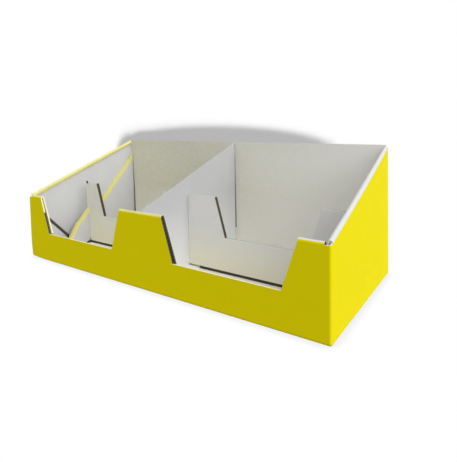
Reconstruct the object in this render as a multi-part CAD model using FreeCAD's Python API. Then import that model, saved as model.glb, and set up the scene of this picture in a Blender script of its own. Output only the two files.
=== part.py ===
"""A cardboard counter display: a notched tray, a centre divider and a notched cross panel.

Millimetres. X runs to the right as seen from the front, Y to the back and Z up.
The origin is on the surface that the tray stands on, in the middle of its outline.
"""

import FreeCAD, Part
import os
from FreeCAD import Vector

# Tray, outside sizes
WIDTH = 380.0
DEPTH = 168.0
FRONT_HEIGHT = 76.0
BACK_HEIGHT = 134.0

# Boards and folds
BOARD = 1.6
DIVIDER_BOARD = 1.2
CROSS_BOARD = 4.0
FOLD_RADIUS = 2.0
ROLL_GAP = 1.2
GLUE_LINE = 0.6

# Front wall: apron under the notches, and the three posts between them
APRON_HEIGHT = 33.0
END_POST_TOP = 25.5
END_POST_FOOT = 40.0
CENTRE_POST_TOP = 56.0
CENTRE_POST_FOOT = 82.0
LINING_CLEARANCE = 1.0

# Side walls: hem folded inward along the sloping top, cut back at its front end
HEM_DEPTH = 5.0
RELIEF_SETBACK = 3.0
RELIEF_DROP = 2.8
BACK_CORNER_RADIUS = 3.0

# Corner flaps glued inside the side walls
FRONT_FLAP_LENGTH = 55.4
FRONT_FLAP_CLEARANCE = 4.0
REAR_FLAP_CLEARANCE = 16.0
FLAP_TOE = 6.0
FLAP_SPACING = 1.5

# Centre divider
DIVIDER_DROP = 0.5
DIVIDER_FIT = 0.3
FLANGE_WIDTH = 14.0
FLANGE_INSET = 6.0
FLANGE_TOP_INSET = 12.0

# Cross panel
CROSS_SETBACK = 72.0
CROSS_HEIGHT = 82.0
CROSS_APRON_HEIGHT = 40.0
CROSS_END_CLEARANCE = 14.0
CROSS_END_POST_TOP = 21.0
CROSS_END_POST_FOOT = 33.0
CROSS_CENTRE_POST_TOP = 74.0
CROSS_CENTRE_POST_FOOT = 98.0
CROSS_FOOT_GAP = 3.0
GUSSET_HEIGHT = 47.0
GUSSET_LENGTH = 36.0
GUSSET_BOW = 2.0
LAP_HEIGHT = 41.0
LAP_CLEARANCE = 0.3

# How far a cutting tool runs past what it cuts
OVERRUN = 5.0

LEFT, RIGHT = -WIDTH / 2, WIDTH / 2
FRONT, BACK = -DEPTH / 2, DEPTH / 2
ROLL_THICKNESS = 2 * BOARD + ROLL_GAP
ROLL_RADIUS = ROLL_THICKNESS / 2
SLOPE = (BACK_HEIGHT - FRONT_HEIGHT) / DEPTH
FLAP_STACK = BOARD + GLUE_LINE


def top_at(y):
    """Height of the sloping top line at a distance along the depth."""
    return FRONT_HEIGHT + SLOPE * (y - FRONT)


def block(x0, x1, y0, y1, z0, z1):
    """A box between two corners."""
    return Part.makeBox(x1 - x0, y1 - y0, z1 - z0, Vector(x0, y0, z0))


def plate_across_x(outline, x0, x1):
    """A flat plate: an outline of (y, z) points, thick along X."""
    wire = Part.makePolygon([Vector(x0, y, z) for y, z in outline + outline[:1]])
    return Part.Face(wire).extrude(Vector(x1 - x0, 0, 0))


def plate_across_y(outline, y0, y1):
    """A flat plate: an outline of (x, z) points, thick along Y."""
    wire = Part.makePolygon([Vector(x, y0, z) for x, z in outline + outline[:1]])
    return Part.Face(wire).extrude(Vector(0, y1 - y0, 0))


def plate_across_z(outline, z0, z1):
    """A flat plate: an outline of (x, y) points, thick along Z."""
    wire = Part.makePolygon([Vector(x, y, z0) for x, y in outline + outline[:1]])
    return Part.Face(wire).extrude(Vector(0, 0, z1 - z0))


def mirrored(shape):
    """The same shape on the other side of the middle plane."""
    return shape.mirror(Vector(0, 0, 0), Vector(1, 0, 0))


def rolled_face(outer_foot, across, inner_drop, outer_drop):
    """Section of a board that is rolled over at its top into a second layer.

    outer_foot is the point of the outer skin at the fold's top height, across the unit vector from
    the outer layer to the inner one, and the drops are how far each layer runs down from there.
    """
    down = Vector(0, 0, -1)
    outer_skin = outer_foot + down * ROLL_RADIUS
    outer_inside = outer_skin + across * BOARD
    inner_inside = outer_inside + across * ROLL_GAP
    inner_skin = inner_inside + across * BOARD
    crown = outer_foot + across * ROLL_RADIUS
    hollow_crown = crown + down * BOARD
    outer_end = down * (outer_drop - ROLL_RADIUS)
    inner_end = down * (inner_drop - ROLL_RADIUS)
    edges = [
        Part.makeLine(outer_skin + outer_end, outer_skin),
        Part.Arc(outer_skin, crown, inner_skin).toShape(),
        Part.makeLine(inner_skin, inner_skin + inner_end),
        Part.makeLine(inner_skin + inner_end, inner_inside + inner_end),
        Part.makeLine(inner_inside + inner_end, inner_inside),
        Part.Arc(inner_inside, hollow_crown, outer_inside).toShape(),
        Part.makeLine(outer_inside, outer_inside + outer_end),
        Part.makeLine(outer_inside + outer_end, outer_skin + outer_end),
    ]
    return Part.Face(Part.Wire(edges))


def post_outline(left_top, right_top, left_foot, right_foot, height, apron, bottom):
    """Outline of a post that widens down to the apron and then runs straight down."""
    return [
        (left_top, height),
        (left_foot, apron),
        (left_foot, bottom),
        (right_foot, bottom),
        (right_foot, apron),
        (right_top, height),
    ]


def front_wall():
    """Apron, and three posts that are rolled over at the top and lined down to the floor."""
    section = rolled_face(
        Vector(LEFT, FRONT, FRONT_HEIGHT), Vector(0, 1, 0), FRONT_HEIGHT - BOARD, FRONT_HEIGHT
    )
    rolled = section.extrude(Vector(WIDTH, 0, 0))
    centre = post_outline(
        -CENTRE_POST_TOP / 2,
        CENTRE_POST_TOP / 2,
        -CENTRE_POST_FOOT / 2,
        CENTRE_POST_FOOT / 2,
        FRONT_HEIGHT,
        APRON_HEIGHT,
        0,
    )
    end = post_outline(
        LEFT, LEFT + END_POST_TOP, LEFT, LEFT + END_POST_FOOT, FRONT_HEIGHT, APRON_HEIGHT, 0
    )
    centre_post = rolled.common(plate_across_y(centre, FRONT, FRONT + ROLL_THICKNESS))
    end_post = rolled.common(plate_across_y(end, FRONT, FRONT + ROLL_THICKNESS))
    lining_edge = LEFT + BOARD + FLAP_STACK + LINING_CLEARANCE
    beside_lining = block(
        LEFT - OVERRUN, lining_edge, FRONT + BOARD, FRONT + ROLL_THICKNESS + OVERRUN, 0, BACK_HEIGHT
    )
    end_post = end_post.cut(beside_lining)
    apron = block(LEFT, RIGHT, FRONT, FRONT + BOARD, 0, APRON_HEIGHT)
    return apron.multiFuse([centre_post, end_post, mirrored(end_post)])


def side_wall():
    """Left side wall: a sloping plate whose top is hemmed inward, with its two corner flaps."""
    rear_face = BACK - BOARD
    plate = plate_across_x(
        [
            (FRONT, 0),
            (rear_face, 0),
            (rear_face, top_at(rear_face) - ROLL_RADIUS),
            (FRONT, FRONT_HEIGHT - ROLL_RADIUS),
        ],
        LEFT,
        LEFT + BOARD,
    )
    hem_front = FRONT + RELIEF_SETBACK
    hem_section = rolled_face(
        Vector(LEFT, hem_front, top_at(hem_front)), Vector(1, 0, 0), HEM_DEPTH, HEM_DEPTH
    )
    hem_run = rear_face - hem_front
    hem = hem_section.extrude(Vector(0, hem_run, hem_run * SLOPE))
    flap_front = FRONT + BOARD
    flap_x0 = LEFT + BOARD
    flap_x1 = flap_x0 + FLAP_STACK
    toe_front = flap_front + FRONT_FLAP_LENGTH
    front_flap = plate_across_x(
        [
            (flap_front, BOARD),
            (flap_front, FRONT_HEIGHT - HEM_DEPTH - FRONT_FLAP_CLEARANCE),
            (toe_front, BOARD + FLAP_TOE),
            (toe_front, BOARD),
        ],
        flap_x0,
        flap_x1,
    )
    toe_rear = toe_front + FLAP_SPACING
    rear_flap = plate_across_x(
        [
            (rear_face, BOARD),
            (rear_face, BACK_HEIGHT - HEM_DEPTH - REAR_FLAP_CLEARANCE),
            (toe_rear, BOARD + FLAP_TOE),
            (toe_rear, BOARD),
        ],
        flap_x0,
        flap_x1,
    )
    return plate.multiFuse([hem, front_flap, rear_flap])


def back_wall():
    """Plain back wall with rounded top corners."""
    wall = block(LEFT, RIGHT, BACK - BOARD, BACK, 0, BACK_HEIGHT)
    corners = [
        edge
        for edge in wall.Edges
        if edge.BoundBox.YLength > BOARD / 2 and edge.BoundBox.ZMin > BACK_HEIGHT / 2
    ]
    return wall.makeFillet(BACK_CORNER_RADIUS, corners)


def folded_envelope():
    """A block whose upright and bottom edges have the outside radius of a fold."""
    envelope = block(LEFT, RIGHT, FRONT, BACK, 0, BACK_HEIGHT + OVERRUN)
    top = BACK_HEIGHT + OVERRUN
    folds = [edge for edge in envelope.Edges if edge.BoundBox.ZMin < top / 2]
    return envelope.makeFillet(FOLD_RADIUS, folds)


def tray():
    """The folded sheet: floor, walls, posts, hems and corner flaps in one piece."""
    floor = block(LEFT, RIGHT, FRONT, BACK, 0, BOARD)
    side = side_wall()
    body = floor.multiFuse([front_wall(), back_wall(), side, mirrored(side)])
    relief = block(
        LEFT - OVERRUN,
        LEFT + ROLL_THICKNESS,
        FRONT - OVERRUN,
        FRONT + RELIEF_SETBACK,
        FRONT_HEIGHT - RELIEF_DROP,
        FRONT_HEIGHT + OVERRUN,
    )
    body = body.cut(relief).cut(mirrored(relief))
    return body.common(folded_envelope()).removeSplitter()


def cross_faces():
    """Front and back of the cross panel, as two places along the depth."""
    front_face = FRONT + CROSS_SETBACK
    return front_face, front_face + CROSS_BOARD


def centre_divider():
    """Thin upright sheet with a glue flange at front, back and foot, slotted from below."""
    half = DIVIDER_BOARD / 2
    front_end = FRONT + ROLL_THICKNESS + DIVIDER_FIT
    back_end = BACK - BOARD - DIVIDER_FIT
    web = plate_across_x(
        [
            (front_end, BOARD),
            (back_end, BOARD),
            (back_end, top_at(back_end) - DIVIDER_DROP),
            (front_end, top_at(front_end) - DIVIDER_DROP),
        ],
        -half,
        half,
    )

    def upright_flange(top):
        """Outline of an end flange, its free edge shorter by 45 degree corners."""
        return [
            (half, BOARD + FLANGE_INSET),
            (half, top),
            (-half, top),
            (-half - FLANGE_WIDTH, top - FLANGE_WIDTH),
            (-half - FLANGE_WIDTH, BOARD + FLANGE_INSET + FLANGE_WIDTH),
            (-half, BOARD + FLANGE_INSET),
        ]

    front_flange = plate_across_y(
        upright_flange(top_at(front_end) - FLANGE_TOP_INSET), front_end, front_end + DIVIDER_BOARD
    )
    back_flange = plate_across_y(
        upright_flange(top_at(back_end) - FLANGE_TOP_INSET), back_end - DIVIDER_BOARD, back_end
    )
    foot_front = front_end + DIVIDER_BOARD + FLANGE_INSET
    foot_back = back_end - DIVIDER_BOARD - FLANGE_INSET
    foot_flange = plate_across_z(
        [
            (-half, foot_front),
            (-half, foot_back),
            (half, foot_back),
            (half + FLANGE_WIDTH, foot_back - FLANGE_WIDTH),
            (half + FLANGE_WIDTH, foot_front + FLANGE_WIDTH),
            (half, foot_front),
        ],
        BOARD,
        BOARD + DIVIDER_BOARD,
    )
    front_face, back_face = cross_faces()
    slot = block(
        -half - OVERRUN,
        half + FLANGE_WIDTH + OVERRUN,
        front_face - LAP_CLEARANCE,
        back_face + LAP_CLEARANCE,
        0,
        LAP_HEIGHT + LAP_CLEARANCE,
    )
    sheet = web.multiFuse([front_flange, back_flange, foot_flange])
    return sheet.cut(slot).removeSplitter()


def cross_panel():
    """Notched sheet across both compartments, slotted from above, with a gusset at each end."""
    front_face, back_face = cross_faces()
    end = LEFT + BOARD + CROSS_END_CLEARANCE
    foot = BOARD + CROSS_FOOT_GAP
    centre = post_outline(
        -CROSS_CENTRE_POST_TOP / 2,
        CROSS_CENTRE_POST_TOP / 2,
        -CROSS_CENTRE_POST_FOOT / 2,
        CROSS_CENTRE_POST_FOOT / 2,
        CROSS_HEIGHT,
        CROSS_APRON_HEIGHT,
        foot,
    )
    side = post_outline(
        end,
        end + CROSS_END_POST_TOP,
        end,
        end + CROSS_END_POST_FOOT,
        CROSS_HEIGHT,
        CROSS_APRON_HEIGHT,
        foot,
    )
    apron = block(end, -end, front_face, back_face, foot, CROSS_APRON_HEIGHT)
    centre_post = plate_across_y(centre, front_face, back_face)
    end_post = plate_across_y(side, front_face, back_face)
    middle_y = front_face - GUSSET_LENGTH / 2 - GUSSET_BOW
    middle_z = BOARD + (GUSSET_HEIGHT + FLAP_TOE) / 2 + GUSSET_BOW
    gusset = plate_across_x(
        [
            (back_face, BOARD),
            (back_face, BOARD + GUSSET_HEIGHT),
            (front_face, BOARD + GUSSET_HEIGHT),
            (middle_y, middle_z),
            (front_face - GUSSET_LENGTH, BOARD + FLAP_TOE),
            (front_face - GUSSET_LENGTH, BOARD),
        ],
        end,
        end + CROSS_BOARD,
    )
    half_slot = DIVIDER_BOARD / 2 + LAP_CLEARANCE
    slot = block(
        -half_slot,
        half_slot,
        front_face - OVERRUN,
        back_face + OVERRUN,
        LAP_HEIGHT,
        CROSS_HEIGHT + OVERRUN,
    )
    sheet = apron.multiFuse([centre_post, end_post, mirrored(end_post), gusset, mirrored(gusset)])
    return sheet.cut(slot).removeSplitter()


NODES = {
    "tray": tray,
    "centre_divider": centre_divider,
    "cross_panel": cross_panel,
}

os.makedirs("parts", exist_ok=True)
for name, build in NODES.items():
    shape = build()
    shape.exportStep(f"parts/{name}.step")
    print(name, "solids", len(shape.Solids), "valid", shape.isValid(), "mm3", round(shape.Volume, 1))
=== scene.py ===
"""A cardboard counter display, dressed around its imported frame.

Metres. X runs to the right as seen from the front, Y to the back and Z up. The tray, the centre
divider and the cross panel are modelled as the folded sheets that they are: each board has its
printed or lined faces, its cut edges and its rounded folds.
"""

import logging
import math
from collections.abc import Callable, Iterable
from dataclasses import dataclass, replace
from enum import Enum, IntEnum

import bmesh
import bpy
from mathutils import Matrix, Vector


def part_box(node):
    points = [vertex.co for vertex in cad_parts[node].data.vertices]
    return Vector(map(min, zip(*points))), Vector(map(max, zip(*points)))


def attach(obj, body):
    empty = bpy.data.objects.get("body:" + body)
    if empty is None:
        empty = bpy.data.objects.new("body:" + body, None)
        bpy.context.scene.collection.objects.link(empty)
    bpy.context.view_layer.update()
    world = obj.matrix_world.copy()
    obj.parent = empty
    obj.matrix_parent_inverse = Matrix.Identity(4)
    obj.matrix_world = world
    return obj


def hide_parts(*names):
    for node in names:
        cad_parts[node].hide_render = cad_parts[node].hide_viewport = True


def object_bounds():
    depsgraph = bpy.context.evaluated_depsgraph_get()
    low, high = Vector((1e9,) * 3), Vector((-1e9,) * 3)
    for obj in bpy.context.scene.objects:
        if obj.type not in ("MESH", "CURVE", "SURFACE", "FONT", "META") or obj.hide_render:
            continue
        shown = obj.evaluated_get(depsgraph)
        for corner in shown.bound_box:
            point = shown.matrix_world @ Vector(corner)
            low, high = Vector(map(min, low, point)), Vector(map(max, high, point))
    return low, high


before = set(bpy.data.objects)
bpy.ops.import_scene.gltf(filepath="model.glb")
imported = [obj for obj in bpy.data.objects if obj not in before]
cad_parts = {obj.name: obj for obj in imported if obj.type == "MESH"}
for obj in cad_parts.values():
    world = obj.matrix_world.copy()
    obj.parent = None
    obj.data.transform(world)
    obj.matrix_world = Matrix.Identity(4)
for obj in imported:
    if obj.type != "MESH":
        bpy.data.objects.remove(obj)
cad_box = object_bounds()

LOG = logging.getLogger("display")
MM = 0.001

# How near two places are that count as one, and how closely a flat or a steep face follows an axis
TOUCH = 0.1 * MM
FLAT = 0.99
STEEP = 0.7

# Corner flaps: length along the floor, free space between them and under the hems, bands on their rims;
# the front flaps' dark band is painted shade along the edge
FLAP_LENGTH = 55.4 * MM
FLAP_SPACING = 1.5 * MM
FRONT_FLAP_CLEARANCE = 4.0 * MM
REAR_FLAP_CLEARANCE = 16.0 * MM
FRONT_FLAP_SHADE_BAND = 3.6 * MM
REAR_FLAP_BAND = 6.2 * MM


class Skin(IntEnum):
    """Material places on a sheet. Each skin is followed by its own liner and cut edge."""

    PRINT = 0
    LINER = 1
    EDGE = 2
    WORN_FOLD = 3
    WORN_LINER = 4
    WORN_EDGE = 5
    WHITE_FOLD = 6
    WHITE_LINER = 7
    WHITE_EDGE = 8
    # Open flutes of cut edges, and painted shade in gaps, roll hollows and dark plates
    FLUTES_AND_SHADE = 9
    # Lighter mottled copy of the liner for the back wall: real mottling and painted light
    BACK_LINER = 10
    # Whiter copy of the liner for up-facing faces: painted light
    FLOOR_LINER = 11
    PANEL_LINER = 12
    RAW_EDGE = 13
    DIVIDER_LINER = 14


class Side(Enum):
    """The two ends of the stand, by the sign of X."""

    LEFT = -1
    RIGHT = 1


Tree = bpy.types.NodeTree
Socket = bpy.types.NodeSocket
Shape = bmesh.types.BMesh
Edges = list[bmesh.types.BMEdge]
Faces = list[bmesh.types.BMFace]
Finishes = dict[Skin, bpy.types.Material]
Piece = bpy.types.Object


def linear(code: str) -> tuple[float, float, float, float]:
    """Turn an sRGB hex colour into a linear one.

    Args:
        code: six hex digits, without a mark before them.

    Returns:
        The linear red, green and blue, and an alpha of 1.
    """
    channels = [int(code[i : i + 2], 16) / 255 for i in (0, 2, 4)]
    bright = [c / 12.92 if c <= 0.04045 else ((c + 0.055) / 1.055) ** 2.4 for c in channels]
    return (bright[0], bright[1], bright[2], 1.0)


def add_node(
    tree: Tree,
    kind: str,
    sockets: dict[str | int, object] | None = None,
    **settings: object,
) -> bpy.types.Node:
    """Add a node with its settings, values and links.

    Args:
        tree: the node tree that the node goes in.
        kind: the node's type, without the ShaderNode that starts it.
        sockets: a value or an output socket for each input, by name or place.
        settings: the node's own properties.

    Returns:
        The new node.
    """
    node = tree.nodes.new("ShaderNode" + kind)
    for name, value in settings.items():
        setattr(node, name, value)
    for key, value in (sockets or {}).items():
        if isinstance(value, Socket):
            tree.links.new(value, node.inputs[key])
        else:
            node.inputs[key].default_value = value
    return node


def combine(tree: Tree, operation: str, *values: Socket) -> Socket:
    """Result of a Math node with these values."""
    return add_node(tree, "Math", dict(enumerate(values)), operation=operation).outputs[0]


def remap(
    tree: Tree,
    value: Socket,
    span: tuple[float, float],
    target: tuple[float, float] = (0.0, 1.0),
    **settings: object,
) -> Socket:
    """Carry one span of values over to another one, and hold it at its ends.

    Args:
        tree: the node tree.
        value: the value to carry over.
        span: the two values that the ends of the target stand for.
        target: the result's two ends.
        settings: the node's own properties.

    Returns:
        The carried value.
    """
    ends = {"From Min": span[0], "From Max": span[1], "To Min": target[0], "To Max": target[1]}
    return add_node(tree, "MapRange", {"Value": value, **ends}, **settings).outputs["Result"]


def mix(tree: Tree, share: Socket, first: object, second: object) -> Socket:
    """Blend two colours, with a share of the second one."""
    inputs = {"Factor": share, "A": first, "B": second}
    return add_node(tree, "Mix", inputs, data_type="RGBA").outputs["Result"]


def wave_scale(pitch_mm: float) -> float:
    """Scale of a wave texture for a pitch: at scale 1, a wave is a full turn over 20 long."""
    return math.tau / (pitch_mm * MM) / 20


def start_material(name: str, roughness: float) -> tuple[bpy.types.Material, bpy.types.Node, Socket]:
    """Begin a material that is painted by place.

    Args:
        name: the material's name.
        roughness: its roughness.

    Returns:
        The material, its shader node and its Object coordinates.
    """
    material = bpy.data.materials.new(name)
    material.use_nodes = True
    shader = material.node_tree.nodes["Principled BSDF"]
    shader.inputs["Roughness"].default_value = roughness
    return material, shader, add_node(material.node_tree, "TexCoord").outputs["Object"]


@dataclass(frozen=True)
class Fade:
    """A slow change of a paper's colour along one axis; on the back wall and the divider it is painted
    light.
    """

    colour: str
    axis: str
    start_mm: float
    end_mm: float
    amount: float = 0.85


@dataclass(frozen=True)
class PaperFinish:
    """Paper facing of a corrugated board, as the paper mill and the printer leave it, with painted light
    in some finishes.
    """

    name: str
    colour: str
    tint: str
    tint_size_mm: float
    tint_amount: float
    roughness: float
    specular: float = 0.5
    fibre_mm: float = 1.4
    fibre_bump: float = 0.05
    fibre_depth_mm: float = 0.3
    flute_pitch_mm: float = 3.3
    flute_bump: float = 0.0
    flute_depth_mm: float = 0.2
    wear: str = ""
    wear_band_mm: tuple[float, float] = (1.3, 0.2)
    wear_grain_mm: float = 2.5
    wear_amount: float = 0.35
    fades: tuple[Fade, ...] = ()

    def build(self) -> bpy.types.Material:
        """Make the material.

        Returns:
            A material that reads Object coordinates.
        """
        material, shader, place = start_material(self.name, self.roughness)
        tree = material.node_tree
        shader.inputs["Specular IOR Level"].default_value = self.specular
        tree.links.new(self._colour(tree, place), shader.inputs["Base Color"])
        tree.links.new(self._bump(tree, place), shader.inputs["Normal"])
        material.diffuse_color = linear(self.colour)
        return material

    def _colour(self, tree: Tree, place: Socket) -> Socket:
        """Cloudy tint over the base colour, its fades, and rubbed print along the folds."""
        scale = 1 / (self.tint_size_mm * MM)
        cloud = add_node(
            tree, "TexNoise", {"Vector": place, "Scale": scale, "Detail": 6.0, "Roughness": 0.65}
        )
        spread = remap(tree, cloud.outputs["Fac"], (0.35, 0.7), (0.0, self.tint_amount))
        colour = mix(tree, spread, linear(self.colour), linear(self.tint))
        axes = add_node(tree, "SeparateXYZ", {"Vector": place})
        for fade in self.fades:
            span = (fade.start_mm * MM, fade.end_mm * MM)
            share = remap(tree, axes.outputs[fade.axis], span, (0.0, fade.amount))
            colour = mix(tree, share, colour, linear(fade.colour))
        if self.wear:
            colour = mix(tree, self._fold_wear(tree, place, axes), colour, linear(self.wear))
        return colour

    def _fold_wear(self, tree: Tree, place: Socket, axes: bpy.types.Node) -> Socket:
        """Where the print is cracked: in a narrow band along the upright corner folds."""
        start, end = (width * MM for width in self.wear_band_mm)
        scale = 1 / (self.wear_grain_mm * MM)
        grain = add_node(tree, "TexNoise", {"Vector": place, "Scale": scale, "Detail": 4.0})
        near = []
        for axis, half in zip("XY", cad_box[1]):
            size = combine(tree, "ABSOLUTE", axes.outputs[axis])
            near.append(remap(tree, size, (half - start, half - end)))
        cracked = remap(tree, grain.outputs["Fac"], (0.45, 0.65), (0.0, self.wear_amount))
        return combine(tree, "MULTIPLY", combine(tree, "MULTIPLY", *near), cracked)

    def _bump(self, tree: Tree, place: Socket) -> Socket:
        """Paper fibre, and the flutes that show faintly through the facing."""
        scale = 1 / (self.fibre_mm * MM)
        fibre = add_node(tree, "TexNoise", {"Vector": place, "Scale": scale, "Detail": 5.0})
        relief = {"Strength": self.fibre_bump, "Distance": self.fibre_depth_mm * MM}
        bump = add_node(tree, "Bump", {"Height": fibre.outputs["Fac"], **relief})
        if not self.flute_bump:
            return bump.outputs["Normal"]
        ridges = add_node(
            tree,
            "TexWave",
            {
                "Vector": place,
                "Scale": wave_scale(self.flute_pitch_mm),
                "Distortion": 0.4,
                "Detail": 1.0,
            },
            wave_type="BANDS",
            bands_direction="X",
        )
        relief = {"Strength": self.flute_bump, "Distance": self.flute_depth_mm * MM}
        under = {"Height": ridges.outputs["Fac"], "Normal": bump.outputs["Normal"]}
        return add_node(tree, "Bump", {**under, **relief}).outputs["Normal"]


@dataclass(frozen=True)
class FluteFinish:
    """Board cut across its flutes: thin kraft waves between hollows painted dark as shade; the same
    material paints the shade of gaps, roll hollows and dark plates.
    """

    name: str
    hollow: str
    kraft: str
    pitch_mm: float
    roughness: float = 0.9

    def build(self) -> bpy.types.Material:
        """Make the material, with a wave for each flute at the flutes' own pitch."""
        material, shader, place = start_material(self.name, self.roughness)
        tree = material.node_tree
        waves = add_node(
            tree,
            "TexWave",
            {"Vector": place, "Scale": wave_scale(self.pitch_mm), "Distortion": 1.5},
            wave_type="BANDS",
            bands_direction="Z",
        )
        crest = remap(tree, waves.outputs["Fac"], (0.8, 1.0), (0.0, 0.4))
        colour = mix(tree, crest, linear(self.hollow), linear(self.kraft))
        tree.links.new(colour, shader.inputs["Base Color"])
        return material


# Clay-coated liner, offset printed and varnished: a flat, strong yellow with a soft sheen
YELLOW_PRINT = PaperFinish(
    "offset_printed_yellow_liner",
    colour="F1E204",
    tint="EDDC0C",
    tint_size_mm=60.0,
    tint_amount=0.5,
    roughness=0.6,
    specular=0.005,
    fibre_bump=0.03,
    flute_bump=0.03,
    wear="E9E6B4",
)

# The same print stretched over a tight fold: it cracks and the pale paper shows through
CRACKED_PRINT = PaperFinish(
    "cracked_yellow_print",
    colour="D9D27A",
    tint="DDD898",
    tint_size_mm=9.0,
    tint_amount=0.7,
    roughness=0.7,
)

# Unprinted clay coat at a fold: near white, a little shiny
WHITE_COAT = PaperFinish(
    "clay_coated_white_liner",
    colour="D3D3D6",
    tint="C9C9CB",
    tint_size_mm=14.0,
    tint_amount=0.5,
    roughness=0.55,
)

# Grey-white recycled liner: matte, with faint clouds and the flutes just showing through
GREY_LINER = PaperFinish(
    "recycled_grey_white_liner",
    colour="C4C4C5",
    tint="BFBFBF",
    tint_size_mm=30.0,
    tint_amount=0.8,
    roughness=0.85,
    specular=0.25,
    fibre_bump=0.1,
    flute_bump=0.04,
)

# The same liner with warm beige mottling, as damp or aged recycled paper has; its lighter base and its
# whitening towards the right and the floor are painted light
MOTTLED_LINER = replace(
    GREY_LINER,
    name="mottled_beige_liner_painted_light",
    colour="D7D7CE",
    tint="D0CDAB",
    tint_size_mm=3.5,
    tint_amount=0.9,
    fibre_bump=0.12,
    # Whiter towards the right and towards the floor: painted light
    fades=(Fade("F5F4F0", "X", -70.0, 160.0), Fade("F5F4F0", "Z", 70.0, 0.0, amount=0.7)),
)

# Unbleached side of the cross panel: beige, with finer mottling
BEIGE_LINER = replace(
    MOTTLED_LINER,
    name="beige_recycled_liner",
    colour="E3E2DC",
    tint="DEDCCC",
    tint_size_mm=7.0,
    flute_bump=0.0,
    fades=(Fade("E4E4E4", "X", -100.0, 0.0, amount=0.7), Fade("F0ECCE", "Z", 50.0, 0.0)),
)

# Liner of the thin divider, brighter towards its foot: painted light from the white floor
DIVIDER_GREY = replace(
    GREY_LINER,
    name="thin_grey_divider_liner_painted_light",
    colour="B6B6B8",
    tint="B1B1B1",
    flute_bump=0.0,
    fades=(Fade("E6E6E6", "Z", 75.0, 5.0),),
)

# Whiter copy of the liner for the floor and the flanges on it: painted light, as up-facing faces get the
# most light
FLOOR_LIT_WHITE = PaperFinish(
    "floor_liner_painted_light",
    colour="F6F5EE",
    tint="F0EEE2",
    tint_size_mm=30.0,
    tint_amount=0.6,
    roughness=0.8,
)

# Cut along the flutes: a closed pale edge of paper with a yellow rim of ink
PALE_EDGE = PaperFinish(
    "die_cut_pale_edge",
    colour="EDE9BE",
    tint="E6E1A2",
    tint_size_mm=6.0,
    tint_amount=0.7,
    roughness=0.9,
)

# Cut edge of the unprinted sheets, closed and grey like their liners; on the tray's back wall it is a
# painted shade line along the top edge
GREY_EDGE = PaperFinish(
    "die_cut_grey_edge",
    colour="BEBDB7",
    tint="B4B2AA",
    tint_size_mm=6.0,
    tint_amount=0.6,
    roughness=0.9,
)

# Kraft flutes with hollows painted dark as shade, also used as painted shade in gaps and dark plates
KRAFT_FLUTES_AND_SHADE = FluteFinish("kraft_flutes_and_painted_shade", hollow="3E3728", kraft="6A5C42", pitch_mm=3.3)


def build_finishes() -> Finishes:
    """Make every finish once.

    Returns:
        The material for each place on a sheet.
    """
    printed = YELLOW_PRINT.build()
    cracked = CRACKED_PRINT.build()
    white = WHITE_COAT.build()
    grey = GREY_LINER.build()
    edge = PALE_EDGE.build()
    return {
        Skin.PRINT: printed,
        Skin.LINER: grey,
        Skin.EDGE: edge,
        Skin.WORN_FOLD: cracked,
        Skin.WORN_LINER: grey,
        Skin.WORN_EDGE: edge,
        Skin.WHITE_FOLD: white,
        Skin.WHITE_LINER: grey,
        Skin.WHITE_EDGE: white,
        Skin.FLUTES_AND_SHADE: KRAFT_FLUTES_AND_SHADE.build(),
        Skin.BACK_LINER: MOTTLED_LINER.build(),
        Skin.FLOOR_LINER: FLOOR_LIT_WHITE.build(),
        Skin.PANEL_LINER: BEIGE_LINER.build(),
        Skin.RAW_EDGE: GREY_EDGE.build(),
        Skin.DIVIDER_LINER: DIVIDER_GREY.build(),
    }


def new_piece(name: str, bm: Shape, materials: Iterable[bpy.types.Material]) -> Piece:
    """Turn a bmesh into an object at the origin.

    Args:
        name: the piece's name.
        bm: the shape, which is freed here.
        materials: the piece's materials, in the order of its material places.

    Returns:
        The new object.
    """
    mesh = bpy.data.meshes.new(name)
    bm.to_mesh(mesh)
    bm.free()
    piece = bpy.data.objects.new(name, mesh)
    bpy.context.scene.collection.objects.link(piece)
    for material in materials:
        mesh.materials.append(material)
    return piece


def drop_unused(piece: Piece) -> Piece:
    """Keep only the materials that a piece's faces use.

    Args:
        piece: a piece whose faces point at the places of all the skins.

    Returns:
        The same piece.
    """
    mesh = piece.data
    places = [face.material_index for face in mesh.polygons]
    used = sorted(set(places))
    kept = [mesh.materials[place] for place in used]
    mesh.materials.clear()
    for material in kept:
        mesh.materials.append(material)
    for face, place in zip(mesh.polygons, places, strict=True):
        face.material_index = used.index(place)
    return piece


def dress(name: str, bm: Shape, finishes: Finishes) -> Piece:
    """Turn a bmesh into a piece with the finishes that its faces use."""
    return drop_unused(new_piece(name, bm, [finishes[skin] for skin in Skin]))


def thicken(piece: Piece, board: float) -> None:
    """Give a folded surface the board's thickness on its inner side, and apply it.

    Args:
        piece: an object whose faces are the sheet's outer skin.
        board: the board's thickness.
    """
    modifier = piece.modifiers.new("board", "SOLIDIFY")
    modifier.thickness = board
    modifier.offset = -1.0
    modifier.use_even_offset = True
    modifier.use_quality_normals = True
    modifier.material_offset = 1
    modifier.material_offset_rim = 2
    graph = bpy.context.evaluated_depsgraph_get()
    solid = bpy.data.meshes.new_from_object(piece.evaluated_get(graph))
    piece.modifiers.clear()
    thin = piece.data
    piece.data = solid
    bpy.data.meshes.remove(thin)


def cut(bm: Shape, faces: Faces, point: Vector, normal: Vector) -> None:
    """Cut faces along a plane, and keep both halves."""
    edges = (e for f in faces for e in f.edges)
    verts = (v for f in faces for v in f.verts)
    geometry = list(dict.fromkeys([*faces, *edges, *verts]))
    bmesh.ops.bisect_plane(bm, geom=geometry, dist=1e-6, plane_co=point, plane_no=normal)


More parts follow.
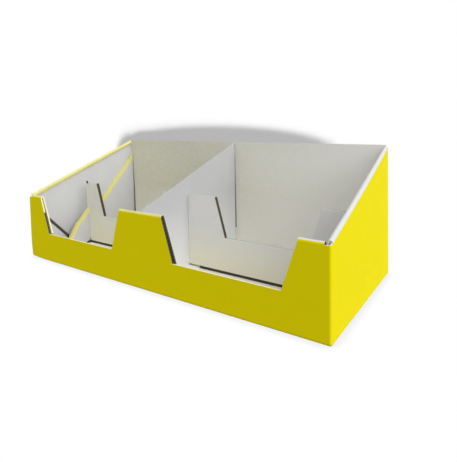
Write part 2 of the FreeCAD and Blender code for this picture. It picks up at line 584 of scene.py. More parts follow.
def pull(bm: Shape, edges: Edges, step: Vector, skin: Skin) -> Edges:
    """Extrude edges by one step.

    Args:
        bm: the shape.
        edges: the free edges to extrude.
        step: how far they go.
        skin: the material place of the new faces.

    Returns:
        The new free edges.
    """
    made = bmesh.ops.extrude_edge_only(bm, edges=edges)["geom"]
    verts = [g for g in made if isinstance(g, bmesh.types.BMVert)]
    bmesh.ops.translate(bm, vec=step, verts=verts)
    for face in (g for g in made if isinstance(g, bmesh.types.BMFace)):
        face.material_index = skin
    moved = set(verts)
    return [g for g in made if isinstance(g, bmesh.types.BMEdge) and set(g.verts) <= moved]


def roll_over(bm: Shape, edges: Edges, inward: Vector, radius: float, skin: Skin) -> Edges:
    """Roll free top edges over through half a turn.

    Args:
        bm: the shape.
        edges: the free edges, one radius under the finished top.
        inward: the unit direction that the roll goes in.
        radius: the outer radius of the roll.
        skin: the material place of the roll.

    Returns:
        The free edges at the end of the roll.
    """
    steps = 8
    up = Vector((0, 0, 1))
    for i in range(steps):
        before = math.pi * i / steps
        after = math.pi * (i + 1) / steps
        across = inward * (math.cos(before) - math.cos(after)) * radius
        rise = up * (math.sin(after) - math.sin(before)) * radius
        edges = pull(bm, edges, across + rise, skin)
    return edges


def plate(
    bm: Shape,
    outline: list[Vector],
    thick: Vector,
    face_skin: Skin,
    edge_skin: Callable[[Vector], Skin],
) -> None:
    """Add a flat board.

    Args:
        bm: the shape that it is added to.
        outline: the corners of one face.
        thick: the way from that face to the other one.
        face_skin: the material place of both faces.
        edge_skin: gives a cut edge its material place from its normal.
    """
    first = bm.faces.new([bm.verts.new(point) for point in outline])
    made = bmesh.ops.extrude_face_region(bm, geom=[first], use_keep_orig=True)["geom"]
    verts = [g for g in made if isinstance(g, bmesh.types.BMVert)]
    bmesh.ops.translate(bm, vec=thick, verts=verts)
    faces = list(dict.fromkeys([first, *(f for v in verts for f in v.link_faces)]))
    bmesh.ops.recalc_face_normals(bm, faces=faces)
    along = thick.normalized()
    for face in faces:
        flat = abs(face.normal.dot(along)) > 0.9
        face.material_index = face_skin if flat else edge_skin(face.normal)


def mark_band(bm: Shape, rim: list[Vector], normal: Vector, width: float, skin: Skin) -> None:
    """Give the strip along a flat face's rim a skin of its own.

    Args:
        bm: the shape.
        rim: the points of a convex run of the face's rim.
        normal: the face's normal.
        width: the strip's width.
        skin: the strip's material place.
    """

    def on_plane() -> Faces:
        return [
            f
            for f in bm.faces
            if f.normal.dot(normal) > FLAT and abs((f.calc_center_median() - rim[0]).dot(normal)) < 1e-6
        ]

    middle = sum((f.calc_center_median() for f in on_plane()), Vector()) / len(on_plane())
    lines = []
    for start, end in zip(rim, rim[1:]):
        across = normal.cross(end - start).normalized()
        if (middle - start).dot(across) < 0:
            across.negate()
        lines.append((start, across))
        cut(bm, on_plane(), start + across * width, across)
    for face in on_plane():
        centre = face.calc_center_median()
        if min((centre - start).dot(across) for start, across in lines) < width:
            face.material_index = skin


@dataclass
class Tray:
    """The printed sheet: floor, walls, rolled posts and hems, folded into one box."""

    board: float = 1.6 * MM
    fold_radius: float = 2.0 * MM
    roll_gap: float = 1.2 * MM
    front_height: float = 76.0 * MM
    apron_height: float = 33.0 * MM
    end_post_top: float = 25.5 * MM
    end_post_foot: float = 40.0 * MM
    centre_post_top: float = 56.0 * MM
    centre_post_foot: float = 82.0 * MM
    lining_inset: float = 4.8 * MM
    lining_gap: float = 0.2 * MM
    post_setback: float = 1.0 * MM
    post_zone: float = 6.0 * MM
    hem_depth: float = 5.0 * MM
    hem_gap: float = 0.3 * MM
    hem_play: float = 0.2 * MM
    relief: float = 3.0 * MM
    corner_crush: float = 1.2 * MM
    crush_reach: float = 7.0 * MM
    pale_above: float = 48.0 * MM
    grid: float = 19.0 * MM
    bow_back: float = 0.9 * MM
    bow_side: float = 0.7 * MM
    lean_left: tuple[float, float] = (0.032, -0.012)
    lean_right: tuple[float, float] = (0.012, 0.024)

    def __post_init__(self) -> None:
        """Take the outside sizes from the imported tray."""
        low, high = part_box("tray")
        self.width = high.x - low.x
        self.depth = high.y - low.y
        self.back_height = high.z
        self.roll_radius = self.board + self.roll_gap / 2
        self.slope = (self.back_height - self.front_height) / self.depth

    def build(self, finishes: Finishes) -> Piece:
        """Fold the sheet and give it its thickness and finishes.

        Args:
            finishes: the material for each place.

        Returns:
            The finished piece.
        """
        bm = bmesh.new()
        self._open_box(bm)
        self._notch_front(bm)
        self._grid_lines(bm)
        self._raise_back(bm)
        self._roll_posts(bm)
        for side in Side:
            self._hem_side(bm, side)
        bmesh.ops.remove_doubles(bm, verts=bm.verts, dist=TOUCH / 10)
        self._turn_outward(bm)
        self._settle(bm)
        piece = new_piece("tray_sheet", bm, [finishes[skin] for skin in Skin])
        thicken(piece, self.board)
        self._sort_faces(piece.data)
        return drop_unused(piece)

    def _open_box(self, bm: Shape) -> None:
        """A box with no top, lower at the front, its folds rounded."""
        bmesh.ops.create_cube(bm, size=1.0)
        size = Vector((self.width, self.depth, self.back_height - self.roll_radius))
        bmesh.ops.scale(bm, vec=size, verts=bm.verts)
        bmesh.ops.translate(bm, vec=Vector((0, 0, size.z / 2)), verts=bm.verts)
        front_top = [v for v in bm.verts if v.co.y < 0 and v.co.z > size.z / 2]
        drop = self.front_height - self.back_height
        bmesh.ops.translate(bm, vec=Vector((0, 0, drop)), verts=front_top)
        top = [f for f in bm.faces if f.normal.z > 0.5]
        bmesh.ops.delete(bm, geom=top, context="FACES_ONLY")
        folds = [e for e in bm.edges if not e.is_boundary]
        bmesh.ops.bevel(
            bm,
            geom=folds,
            offset=self.fold_radius,
            segments=4,
            profile=0.5,
            affect="EDGES",
            material=-1,
        )

    def _front_faces(self, bm: Shape, above: bool) -> Faces:
        """The flat faces of the front wall above or under the apron's line."""
        front = (f for f in bm.faces if f.normal.y < -FLAT)
        return [f for f in front if (f.calc_center_median().z > self.apron_height) is above]

    def _notch_front(self, bm: Shape) -> None:
        """Cut the two notches out of the front wall, and the reliefs beside the end posts."""
        front = -self.depth / 2
        line = Vector((0, front, self.apron_height))
        cut(bm, [f for f in bm.faces if f.normal.y < -FLAT], line, Vector((0, 0, 1)))
        half_width = self.width / 2
        flanks = [
            (self.centre_post_top / 2, self.centre_post_foot / 2),
            (half_width - self.end_post_top, half_width - self.end_post_foot),
        ]
        rise = self.front_height - self.apron_height
        for top_x, foot_x in flanks:
            for side in Side:
                point = Vector((side.value * foot_x, front, self.apron_height))
                normal = Vector((rise, 0, -side.value * (top_x - foot_x)))
                cut(bm, self._front_faces(bm, True), point, normal)
        corner_x = half_width - 2 * self.roll_radius - self.post_setback
        for side in Side:
            point = Vector((side.value * corner_x, front, 0))
            cut(bm, self._front_faces(bm, True), point, Vector((1, 0, 0)))
        for _, foot_x in flanks:
            for side in Side:
                point = Vector((side.value * foot_x, front, 0))
                cut(bm, self._front_faces(bm, False), point, Vector((1, 0, 0)))
        notches = [
            f
            for f in self._front_faces(bm, True)
            if flanks[0][1] < abs(f.calc_center_median().x) < flanks[1][1]
        ]
        bmesh.ops.delete(bm, geom=notches, context="FACES")

    def _grid_lines(self, bm: Shape) -> None:
        """Cut the sheet into a coarse grid, so that it can bow."""
        starts = Vector((-self.width / 2, -self.depth / 2, 0))
        for axis, size in enumerate((self.width, self.depth, self.back_height)):
            normal = Vector((axis == 0, axis == 1, axis == 2))
            count = int(size / self.grid)
            for i in range(1, count):
                cut(bm, bm.faces[:], normal * (starts[axis] + i * size / count), normal)

    def _top_edges(self, bm: Shape, wanted: Callable[[Vector], bool]) -> Edges:
        """Free edges whose two ends both lie where wanted."""
        return [e for e in bm.edges if e.is_boundary and all(wanted(v.co) for v in e.verts)]

    def _raise_back(self, bm: Shape) -> None:
        """Carry the back wall up to its full height, past the start of the hems."""
        back = self.depth / 2
        edges = self._top_edges(bm, lambda p: p.y > back - TOUCH and p.z > self.front_height)
        pull(bm, edges, Vector((0, 0, self.roll_radius)), Skin.PRINT)

    def _roll_posts(self, bm: Shape) -> None:
        """Roll the three posts over and line them down to the floor."""
        front = -self.depth / 2
        top = self.front_height - self.roll_radius
        corner_x = self.width / 2 - 2 * self.roll_radius - self.post_setback + TOUCH

        def on_post(p: Vector) -> bool:
            return p.y < front + TOUCH and p.z > top - 2 * TOUCH and abs(p.x) < corner_x

        edges = self._top_edges(bm, on_post)
        edges = roll_over(bm, edges, Vector((0, 1, 0)), self.roll_radius, Skin.WORN_FOLD)
        for face in (f for f in bm.faces if f.material_index == Skin.WORN_FOLD):
            face.material_index = self._roll_skin(face.calc_center_median())
        edges = pull(bm, edges, Vector((0, 0, self.apron_height - top)), Skin.WHITE_FOLD)
        self._widen(edges)
        foot = self.board + self.lining_gap
        pull(bm, edges, Vector((0, 0, foot - self.apron_height)), Skin.WHITE_FOLD)

    def _roll_skin(self, centre: Vector) -> Skin:
        """Skin of a strip of a post's roll: the print ends higher on the right post, and in white."""
        on_right = centre.x > self.centre_post_foot / 2
        turned = (centre.y + self.depth / 2) / self.roll_radius
        if turned < (0.3 if on_right else 0.1):
            return Skin.PRINT
        return Skin.WHITE_FOLD if on_right else Skin.WORN_FOLD

    def _widen(self, edges: Edges) -> None:
        """Widen the post linings at the apron's height, as the posts themselves are."""
        centre_scale = self.centre_post_foot / self.centre_post_top
        notch_shift = self.end_post_foot - self.end_post_top
        inner_top = self.width / 2 - self.end_post_top
        outer = self.width / 2 - self.lining_inset
        for vert in dict.fromkeys(v for e in edges for v in e.verts):
            x = abs(vert.co.x)
            sign = math.copysign(1.0, vert.co.x)
            if x < self.centre_post_foot / 2:
                vert.co.x *= centre_scale
            else:
                share = (outer - x) / (outer - inner_top)
                vert.co.x = sign * (x - share * notch_shift)

    def _hem_side(self, bm: Shape, side: Side) -> None:
        """Fold the top of a side wall inward."""
        outer = side.value * self.width / 2
        start = -self.depth / 2 + self.relief
        end = self.depth / 2 - self.board - self.hem_gap
        for y in (start, end):
            wall = [f for f in bm.faces if f.normal.x * side.value > FLAT]
            cut(bm, wall, Vector((0, y, 0)), Vector((0, 1, 0)))

        def on_hem(p: Vector) -> bool:
            line = self.front_height + self.slope * (p.y + self.depth / 2) - self.roll_radius
            inside = start - TOUCH < p.y < end + TOUCH
            return inside and abs(p.x - outer) < TOUCH and abs(p.z - line) < 5 * TOUCH

        skin = Skin.WORN_FOLD if side is Side.LEFT else Skin.WHITE_FOLD
        edges = self._top_edges(bm, on_hem)
        edges = roll_over(bm, edges, Vector((-side.value, 0, 0)), self.roll_radius, skin)
        to_wall = side.value * (self.roll_gap - self.hem_play)
        pull(bm, edges, Vector((to_wall, 0, self.roll_radius - self.hem_depth)), skin)

    def _turn_outward(self, bm: Shape) -> None:
        """Make every face look out of the printed side."""
        bmesh.ops.recalc_face_normals(bm, faces=bm.faces)
        bm.faces.ensure_lookup_table()
        under = min(bm.faces, key=lambda f: f.calc_center_median().z)
        if under.normal.z > 0:
            bmesh.ops.reverse_faces(bm, faces=bm.faces)

    def _settle(self, bm: Shape) -> None:
        """Let the walls bow and lean, and blunt the front left corner at the foot."""
        corner = Vector((-self.width / 2, -self.depth / 2, 0))
        for vert in bm.verts:
            point = self.settled(vert.co)
            near = max(0.0, 1 - (point - corner).length / self.crush_reach)
            vert.co = point + Vector((1, 1, 1.1)) * self.corner_crush * near**2

    def settled(self, point: Vector) -> Vector:
        """Where a point of the folded sheet goes as its walls bow and lean a little.

        Args:
            point: a place on the sheet as it is folded.

        Returns:
            The place that it settles to.
        """
        half_width, half_depth = self.width / 2, self.depth / 2
        along = math.cos(math.pi * point.x / self.width)
        across = math.cos(math.pi * point.y / self.depth)
        height = min(point.z / self.back_height, 1.0)
        to_back = point.y / half_depth
        to_side = point.x / half_width
        bow_y = self.bow_back * along * height * max(to_back, 0.0) ** 4
        bow_x = self.bow_side * across * height * abs(to_side) ** 12
        to_front = (1 - to_back) / 2
        lean = self.lean_left if to_side < 0 else self.lean_right
        inward = (lean[0] * to_front + lean[1] * (1 - to_front)) * point.z * abs(to_side) ** 8
        return point + Vector((math.copysign(1.0, to_side) * (bow_x - inward), bow_y, 0))

    def _sort_faces(self, mesh: bpy.types.Mesh) -> None:
        """Give the floor and the back wall lighter copies of the liner as painted light, give the cut
        edges their own finishes, and paint the hollows of the rolls and the gaps behind the linings dark
        as shade.
        """
        for face in mesh.polygons:
            skin = Skin(face.material_index)
            if skin in (Skin.EDGE, Skin.WORN_EDGE, Skin.WHITE_EDGE):
                face.material_index = self._edge_skin(face, skin)
            # Hollows of the rolls and gaps behind the linings: painted dark as shade, except high on the
            # left end post
            elif skin in (Skin.WORN_LINER, Skin.WHITE_LINER) or self._behind_lining(face, skin):
                pale = self._pale_end(face.center)
                face.material_index = Skin.WHITE_LINER if pale else Skin.FLUTES_AND_SHADE
            elif skin is Skin.LINER:
                # Up-facing faces take the whiter floor liner and the back wall the lighter mottled one:
                # painted light
                if face.normal.z > STEEP:
                    face.material_index = Skin.FLOOR_LINER
                elif face.normal.y < -STEEP and face.center.y > 0:
                    face.material_index = Skin.BACK_LINER

    def _edge_skin(self, face: bpy.types.MeshPolygon, skin: Skin) -> Skin:
        """Finish of a cut edge, by where it is and which way it looks: post edges take dark flutes, partly
        painted shade, and the back wall's top edge a grey painted shade line.
        """
        if abs(face.normal.x) > 0.5 and self._in_post_zone(face.center):
            return Skin.WORN_EDGE if self._pale_end(face.center) else Skin.FLUTES_AND_SHADE
        # The back wall's top edge is grey: a painted shade line
        if face.normal.z > 0.3 and face.center.y > self.depth / 2 - 2 * self.board:
            return Skin.RAW_EDGE
        return skin

    def _in_post_zone(self, place: Vector) -> bool:
        """Whether a place is as near to the front as the posts and their linings are."""
        return place.y < -self.depth / 2 + self.post_zone

    def _pale_end(self, place: Vector) -> bool:
        """Whether a place is on the left end post, above the height under which its edge and hollow are
        painted dark as shade.
        """
        on_left = place.x < -self.width / 2 + self.end_post_foot
        return on_left and self._in_post_zone(place) and place.z > self.pale_above

    def _behind_lining(self, face: bpy.types.MeshPolygon, skin: Skin) -> bool:
        """Whether a face is in the gap between a post and its lining."""
        x = abs(face.center.x)
        on_post = x < self.centre_post_foot / 2 or x > self.width / 2 - self.end_post_foot
        in_gap = face.normal.y > STEEP and face.center.y < -self.depth / 2 + 2 * self.board
        return skin is Skin.LINER and on_post and in_gap and x < self.width / 2 - self.lining_inset


def open_on_slants(normal: Vector) -> Skin:
    """Cut edges that slant show their flutes, with hollows painted dark as shade, and the others are
    closed and grey.
    """
    return Skin.FLUTES_AND_SHADE if 0.1 < normal.z < 0.6 else Skin.RAW_EDGE


def always(skin: Skin) -> Callable[[Vector], Skin]:
    """One material place for every cut edge."""
    return lambda normal: skin


@dataclass
class CornerFlap:
    """A triangular flap folded round from a wall and glued inside a side wall."""

    name: str
    side: Side
    fold_y: float
    toe_y: float
    height: float
    band: Skin
    band_width: float
    toe: float = 6.0 * MM
    glue_line: float = 0.5 * MM

    def build(self, tray: Tray, finishes: Finishes) -> Piece:
        """Cut the flap and lay it against its wall.

        Args:
            tray: the tray that it belongs to.
            finishes: the material for each place.

        Returns:
            The finished piece.
        """
        wall = self.side.value * (tray.width / 2 - tray.board - self.glue_line)
        foot = tray.board
        corners = [
            (self.fold_y, foot),
            (self.fold_y, self.height),
            (self.toe_y, foot + self.toe),
            (self.toe_y, foot),
        ]
        to_room = Vector((-self.side.value, 0, 0))
        outline = [Vector((wall, y, z)) for y, z in corners]
        bm = bmesh.new()
        plate(bm, outline, to_room * tray.board, Skin.LINER, always(self.band))
        rim = [point + to_room * tray.board for point in outline[1:3]]
        mark_band(bm, rim, to_room, self.band_width, self.band)
        for vert in bm.verts:
            vert.co = tray.settled(vert.co)
        return dress(self.name, bm, finishes)


@dataclass
class CentreDivider:
    """Thin sheet between the compartments, with glue flanges at its ends and its foot."""

    board: float = 1.2 * MM
    flange: float = 14.0 * MM
    inset: float = 6.0 * MM
    top_inset: float = 12.0 * MM
    drop: float = 0.5 * MM

    def build(self, tray: Tray, panel: "CrossPanel", finishes: Finishes) -> Piece:
        """Make the web and its three flanges.

        Args:
            tray: the tray that it stands in.
            panel: the cross panel that it is lapped with.
            finishes: the material for each place.

        Returns:
            The finished piece.
        """
        low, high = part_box("centre_divider")
        half = self.board / 2
        front, back = low.y, high.y
        foot = tray.board
        slot = panel.slot_span()
        line = [tray.front_height + tray.slope * (y + tray.depth / 2) - self.drop for y in (front, back)]
        web = [
            (front, foot),
            (slot[0], foot),
            (slot[0], panel.lap_height),
            (slot[1], panel.lap_height),
            (slot[1], foot),
            (back, foot),
            (back, line[1]),
            (front, line[0]),
        ]
        bm = bmesh.new()
        thick = Vector((-self.board, 0, 0))
        plate(bm, [Vector((half, y, z)) for y, z in web], thick, Skin.DIVIDER_LINER, always(Skin.RAW_EDGE))
        for y, top, step in ((front, line[0], self.board), (back, line[1], -self.board)):
            outline = self._flange_outline(y, foot + self.inset, top - self.top_inset)
            plate(bm, outline, Vector((0, step, 0)), Skin.DIVIDER_LINER, always(Skin.RAW_EDGE))
        foot_ends = ((front + self.board + self.inset, slot[0]), (slot[1], back - self.board - self.inset))
        for start, end in foot_ends:
            outline = self._foot_outline(start, end, foot)
            plate(bm, outline, Vector((0, 0, self.board)), Skin.FLOOR_LINER, always(Skin.FLOOR_LINER))
        return dress("divider_sheet", bm, finishes)

    def _flange_outline(self, y: float, foot: float, top: float) -> list[Vector]:
        """An end flange whose free corners are cut at 45 degrees."""
        near, far = -self.board / 2, -self.board / 2 - self.flange
        cut_back = self.flange
        points = [(near, foot), (near, top), (far, top - cut_back), (far, foot + cut_back)]
        return [Vector((x, y, z)) for x, z in points]

    def _foot_outline(self, start: float, end: float, foot: float) -> list[Vector]:
        """A foot flange on one side of the lap, with 45 degree corners at the sheet's ends."""
        near, far = self.board / 2, self.board / 2 + self.flange
        front_cut = self.flange if start < 0 and end < 0 else 0.0
        back_cut = 0.0 if front_cut else self.flange
        points = [(near, start), (near, end), (far, end - back_cut), (far, start + front_cut)]
        return [Vector((x, y, foot)) for x, y in points]


@dataclass
class CrossPanel:
    """Notched sheet across both compartments, with a gusset folded forward at each end."""

    board: float = 4.0 * MM
    apron_height: float = 40.0 * MM
    end_post_top: float = 21.0 * MM
    end_post_foot: float = 33.0 * MM
    centre_post_top: float = 74.0 * MM
    centre_post_foot: float = 98.0 * MM
    foot_gap: float = 3.0 * MM
    gusset_height: float = 47.0 * MM
    gusset_bow: float = 2.0 * MM
    gusset_band: float = 4.5 * MM
    gusset_toe: float = 6.0 * MM
    lap_height: float = 41.0 * MM
    lap_half: float = 0.9 * MM
    lap_clearance: float = 0.3 * MM

    def __post_init__(self) -> None:
        """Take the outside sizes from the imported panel."""
        low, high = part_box("cross_panel")
        self.half = high.x
        self.height = high.z
        self.foot = low.z
        self.back = high.y
        self.front = high.y - self.board
        self.gusset_front = low.y

    def slot_span(self) -> tuple[float, float]:
        """Front and back of the divider's slot over this panel."""
        return self.front - self.lap_clearance, self.back + self.lap_clearance

    def build(self, finishes: Finishes) -> Piece:
        """Cut the panel and fold its gussets.

        Args:
            finishes: the material for each place.

        Returns:
            The finished piece.
        """
        right = [
            (self.lap_half, self.lap_height),
            (self.lap_half, self.height),
            (self.centre_post_top / 2, self.height),
            (self.centre_post_foot / 2, self.apron_height),
            (self.half - self.end_post_foot, self.apron_height),
            (self.half - self.end_post_top, self.height),
            (self.half, self.height),
            (self.half, self.foot + self.foot_gap),
        ]
        left = [(-x, z) for x, z in reversed(right)]
        bm = bmesh.new()
        outline = [Vector((x, self.front, z)) for x, z in left + right]
        plate(bm, outline, Vector((0, self.board, 0)), Skin.PANEL_LINER, open_on_slants)
        for side in Side:
            self._add_gusset(bm, side)
        return dress("cross_panel_sheet", bm, finishes)

    def _add_gusset(self, bm: Shape, side: Side) -> None:
        """A triangle folded forward from the panel's end, its long edge a little bowed."""
        x = side.value * self.half
        top = self.foot + self.gusset_height
        toe = self.foot + self.gusset_toe
        middle_y = (self.front + self.gusset_front) / 2
        points = [
            (self.back, self.foot),
            (self.back, top),
            (self.front, top),
            (middle_y - self.gusset_bow, (top + toe) / 2 + self.gusset_bow),
            (self.gusset_front, toe),
            (self.gusset_front, self.foot),
        ]
        to_room = Vector((-side.value, 0, 0))
        outline = [Vector((x, y, z)) for y, z in points]
        plate(bm, outline, to_room * self.board, Skin.LINER, always(Skin.WORN_FOLD))
        rim = [point + to_room * self.board for point in outline[2:5]]
        mark_band(bm, rim, to_room, self.gusset_band, Skin.WORN_FOLD)


@dataclass
class PaintedShadePlates:
    """Thin dark plates of painted shade where a folded edge stands off the wall, the floor or the panel
    beside it.
    """

    tray: Tray
    panel: CrossPanel
    depth: float = 0.2 * MM
    flange_edge: float = 15.0 * MM
    corner_start: float = 3.7 * MM
    corner_outline: tuple[tuple[float, float], ...] = ((0, 4), (2.4, 4), (1.9, 60), (0.6, 112))
    divider_start: float = 0.6 * MM
    divider_outline: tuple[tuple[float, float], ...] = ((0, 24), (1.2, 24), (0.2, 116))
    foot_setback: float = 0.4 * MM
    fold_outline: tuple[tuple[float, float], ...] = ((7, 0), (0, 0), (0, 7), (1.2, 3.5), (7, 2))
    spot_start: float = 0.6 * MM
    spot_width: float = 3.6 * MM
    spot_levels: tuple[float, float] = (-0.8 * MM, 2.6 * MM)

    def build(self, finishes: Finishes) -> dict[str, Piece]:
        """Make the painted shade of the tray, of the divider and of the panel.

        Args:
            finishes: the material for each place.

        Returns:
            One piece for each node.
        """
        corner = -self.tray.width / 2 + self.corner_start
        shapes = {
            "tray": self._wall_shade(corner, self.corner_outline),
            "centre_divider": self._wall_shade(self.divider_start, self.divider_outline),
            "cross_panel": self._panel_painted_shade(),
        }
        return {node: dress(f"{node}_painted_shade", bm, finishes) for node, bm in shapes.items()}

    def _wall_shade(self, start: float, outline_mm: tuple[tuple[float, float], ...]) -> Shape:
        """Painted shade on the back wall beside a fold, running out towards the top."""
        bm = bmesh.new()
        wall = self.tray.depth / 2 - self.tray.board - TOUCH
        self._shade_plate(bm, [Vector((start + x * MM, wall, z * MM)) for x, z in outline_mm])
        return bm

    def _panel_painted_shade(self) -> Shape:
        """Painted shade under the panel's foot, along its fold into each gusset and at the fold's relief.
        """
        panel = self.panel
        bm = bmesh.new()
        inner = panel.half - panel.board
        floor = panel.foot
        foot = floor + panel.foot_gap
        face = panel.front + self.foot_setback
        for start, end in ((-inner, -self.tray.board), (self.flange_edge, inner)):
            self._shade_plate(bm, self._upright(start, end, face, floor, foot))
        for side in Side:
            x = side.value * (inner - TOUCH)
            outline = [Vector((x, panel.front - y * MM, floor + z * MM)) for y, z in self.fold_outline]
            plate(bm, outline, Vector((-side.value * self.depth, 0, 0)), Skin.FLUTES_AND_SHADE, always(Skin.FLUTES_AND_SHADE))
        start = -panel.half + self.spot_start
        low, high = (panel.height + level for level in self.spot_levels)
        self._shade_plate(bm, self._upright(start, start + self.spot_width, panel.front - TOUCH, low, high))
        return bm

    def _upright(self, start: float, end: float, y: float, low: float, high: float) -> list[Vector]:
        """Corners of an upright rectangle across the stand."""
        return [Vector((x, y, z)) for x, z in ((start, low), (end, low), (end, high), (start, high))]

    def _shade_plate(self, bm: Shape, outline: list[Vector]) -> None:
        """One thin dark plate that looks forward, as painted shade."""
        plate(bm, outline, Vector((0, -self.depth, 0)), Skin.FLUTES_AND_SHADE, always(Skin.FLUTES_AND_SHADE))


@dataclass(frozen=True)
class SoftShadow:
    """Shadow on white paper: how far it goes, the open shares where it is full and gone, its tone."""

    reach: float
    open_share: tuple[float, float]
    darkest: float


@dataclass
class Studio:
    """Camera, lamps, floor and backdrop."""

    azimuth: float = 34.262
    elevation: float = 5.594
    roll: float = -0.924
    place: tuple[float, float, float] = (0.28655, -0.35173, 0.16202)
    focal_pixels: float = 410.04
    frame_height: float = 462.0
    shift_up: float = -0.1537
    sky: float = 0.8
    below: float = 0.1
    key_from: tuple[float, float, float] = (0.56, -0.10, 0.32)
    key_spread: float = 50.0
    key_power: float = 0.65 * math.pi
    sheet_half: float = 4.0
    floor_shadow: SoftShadow = SoftShadow(12 * MM, (0.5, 0.9), 0.88)
    backdrop_shadow: SoftShadow = SoftShadow(40 * MM, (0.9, 0.985), 0.47)
    backdrop_gap: float = 0.026
    backdrop_turn: float = 6.5

    def build(self) -> None:
        """Set the stage and the camera."""
        self._camera()
        self._lamp("key", Vector(self.key_from), self.key_spread, self.key_power)
        self._world()
        self._papers()
        bpy.context.scene.view_settings.view_transform = "Standard"

    def _camera(self) -> None:
        """The camera stands where the photograph's view puts it."""
        turn, tilt, roll = (math.radians(a) for a in (self.azimuth, self.elevation, self.roll))
        axes = (
            Matrix.Rotation(turn, 4, "Z")
            @ Matrix.Rotation(math.pi / 2 - tilt, 4, "X")
            @ Matrix.Rotation(roll, 4, "Z")
        )
        data = bpy.data.cameras.new("camera")
        data.sensor_width = 36.0
        data.lens = self.focal_pixels / self.frame_height * data.sensor_width
        data.shift_y = self.shift_up
        camera = bpy.data.objects.new("camera", data)
        camera.matrix_world = Matrix.Translation(self.place) @ axes
        bpy.context.scene.collection.objects.link(camera)
        bpy.context.scene.camera = camera

    def _lamp(self, name: str, towards: Vector, spread: float, power: float) -> None:
        """A wide, far softbox that lights everything from one direction.

        Args:
            name: the lamp's name.
            towards: the direction from the stand to the lamp.
            spread: how wide the softbox looks from the stand, in degrees.
            power: its strength, where pi lights a face that looks at it to its own colour.
        """
        data = bpy.data.lights.new(name, "SUN")
        data.energy = power
        data.angle = math.radians(spread)
        lamp = bpy.data.objects.new(name, data)
        lamp.rotation_euler = (-towards).to_track_quat("-Z", "Y").to_euler()
        bpy.context.scene.collection.objects.link(lamp)

    def _world(self) -> None:
        """Even light from above and a little from below, seen as plain white."""
        world = bpy.data.worlds.new("studio")
        bpy.context.scene.world = world
        world.use_nodes = True
        tree = world.node_tree
        tree.nodes.clear()
        path = add_node(tree, "LightPath").outputs
        seen = combine(tree, "MAXIMUM", path["Is Camera Ray"], path["Is Glossy Ray"])
        shown = combine(tree, "MAXIMUM", seen, path["Is Transmission Ray"])
        upward = add_node(tree, "SeparateXYZ", {0: add_node(tree, "TexCoord").outputs["Generated"]})
        strength = remap(tree, upward.outputs["Z"], (-0.15, 0.15), (self.below, self.sky))
        light = add_node(tree, "Background", {"Color": (1, 1, 1, 1), "Strength": strength})
        white = add_node(tree, "Background", {"Color": (1, 1, 1, 1), "Strength": 1.0})
        mixed = add_node(tree, "MixShader", {0: shown, 1: light.outputs[0], 2: white.outputs[0]})
        add_node(tree, "OutputWorld", {"Surface": mixed.outputs[0]})

    def _white_sheet(self, name: str, shadow: SoftShadow) -> bpy.types.Material:
        """White studio paper with the stand's soft shadow on it, seen from its front only.

        Args:
            name: the material's name.
            shadow: how the shadow looks on it.

        Returns:
            The material.
        """
        material = bpy.data.materials.new(name)
        material.use_nodes = True
        tree = material.node_tree
        tree.nodes.clear()
        openness = add_node(tree, "AmbientOcclusion", {"Distance": shadow.reach}, samples=64)
        target = (shadow.darkest, 1.0)
        soft = {"interpolation_type": "SMOOTHSTEP"}
        tone = remap(tree, openness.outputs["AO"], shadow.open_share, target, **soft)
        paper = add_node(tree, "Emission", {"Color": (1, 1, 1, 1), "Strength": tone})
        behind = add_node(tree, "NewGeometry").outputs["Backfacing"]
        clear = add_node(tree, "BsdfTransparent")
        shown = add_node(tree, "MixShader", {0: behind, 1: paper.outputs[0], 2: clear.outputs[0]})
        add_node(tree, "OutputMaterial", {"Surface": shown.outputs[0]})
        return material

    def _set_up(self, name: str, place: Matrix, shadow: SoftShadow) -> None:
        """Stage a sheet of white paper that the lamps' light passes by.

        Args:
            name: the sheet's name.
            place: where it goes from its first place, flat on the floor.
            shadow: how the stand's shadow looks on it.
        """
        bm = bmesh.new()
        bmesh.ops.create_grid(bm, x_segments=1, y_segments=1, size=self.sheet_half)
        bmesh.ops.transform(bm, matrix=place, verts=bm.verts)
        sheet = new_piece(name, bm, [self._white_sheet(f"{name}_paper", shadow)])
        sheet.visible_diffuse = False
        sheet.visible_shadow = False

    def _papers(self) -> None:
        """A wide white floor, and a white wall close behind the stand that takes its shadow."""
        upright = Matrix.Rotation(math.radians(90), 4, "X")
        turned = Matrix.Rotation(math.radians(self.backdrop_turn), 4, "Z")
        behind = Matrix.Translation((0, cad_box[1][1] + self.backdrop_gap, 0))
        self._set_up("floor", Matrix.Identity(4), self.floor_shadow)
        self._set_up("backdrop", behind @ turned @ upright, self.backdrop_shadow)


def make_flaps(tray: Tray) -> list[CornerFlap]:
    """List the four corner flaps of the tray.

    Args:
        tray: the tray that they belong to.

    Returns:
        A front and a rear flap for each side.
    """
    fold = tray.depth / 2 - tray.board
    toe_front = -fold + FLAP_LENGTH
    toe_rear = toe_front + FLAP_SPACING
    front_top = tray.front_height - tray.hem_depth - FRONT_FLAP_CLEARANCE
    rear_top = tray.back_height - tray.hem_depth - REAR_FLAP_CLEARANCE
    flaps = []
    for side in Side:
        name = side.name.lower()
        # The front flaps' band is dark flutes, as painted shade along their edges
        front = (-fold, toe_front, front_top, Skin.FLUTES_AND_SHADE, FRONT_FLAP_SHADE_BAND)
        rear = (fold, toe_rear, rear_top, Skin.WORN_FOLD, REAR_FLAP_BAND)
        flaps.append(CornerFlap(f"{name}_front_flap", side, *front))
        flaps.append(CornerFlap(f"{name}_rear_flap", side, *rear))
    return flaps


def report(piece: Piece, node: str) -> None:
    """Let a piece ride, say which node it stands for, and log it.

    Args:
        piece: the finished piece.
        node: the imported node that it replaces.
    """
    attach(piece, "root")
    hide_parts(node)
    LOG.info("%s stands for %s with %d faces", piece.name, node, len(piece.data.polygons))


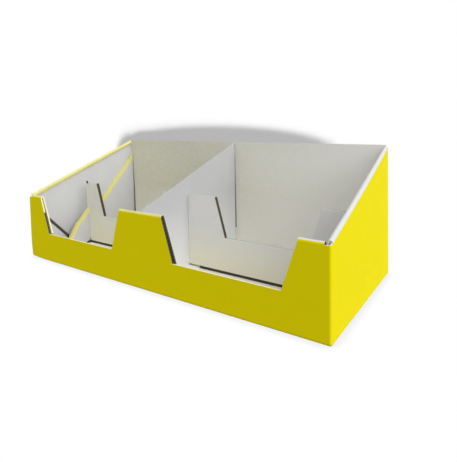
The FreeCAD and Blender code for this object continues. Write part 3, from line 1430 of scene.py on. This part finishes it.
def main() -> None:
    """Build the studio and the stand."""
    logging.basicConfig(level=logging.INFO, format="%(name)s: %(message)s")
    Studio().build()
    finishes = build_finishes()
    tray = Tray()
    report(tray.build(finishes), "tray")
    for flap in make_flaps(tray):
        report(flap.build(tray, finishes), "tray")
    panel = CrossPanel()
    report(panel.build(finishes), "cross_panel")
    report(CentreDivider().build(tray, panel, finishes), "centre_divider")
    for node, piece in PaintedShadePlates(tray, panel).build(finishes).items():
        report(piece, node)


if __name__ == "__main__":
    main()
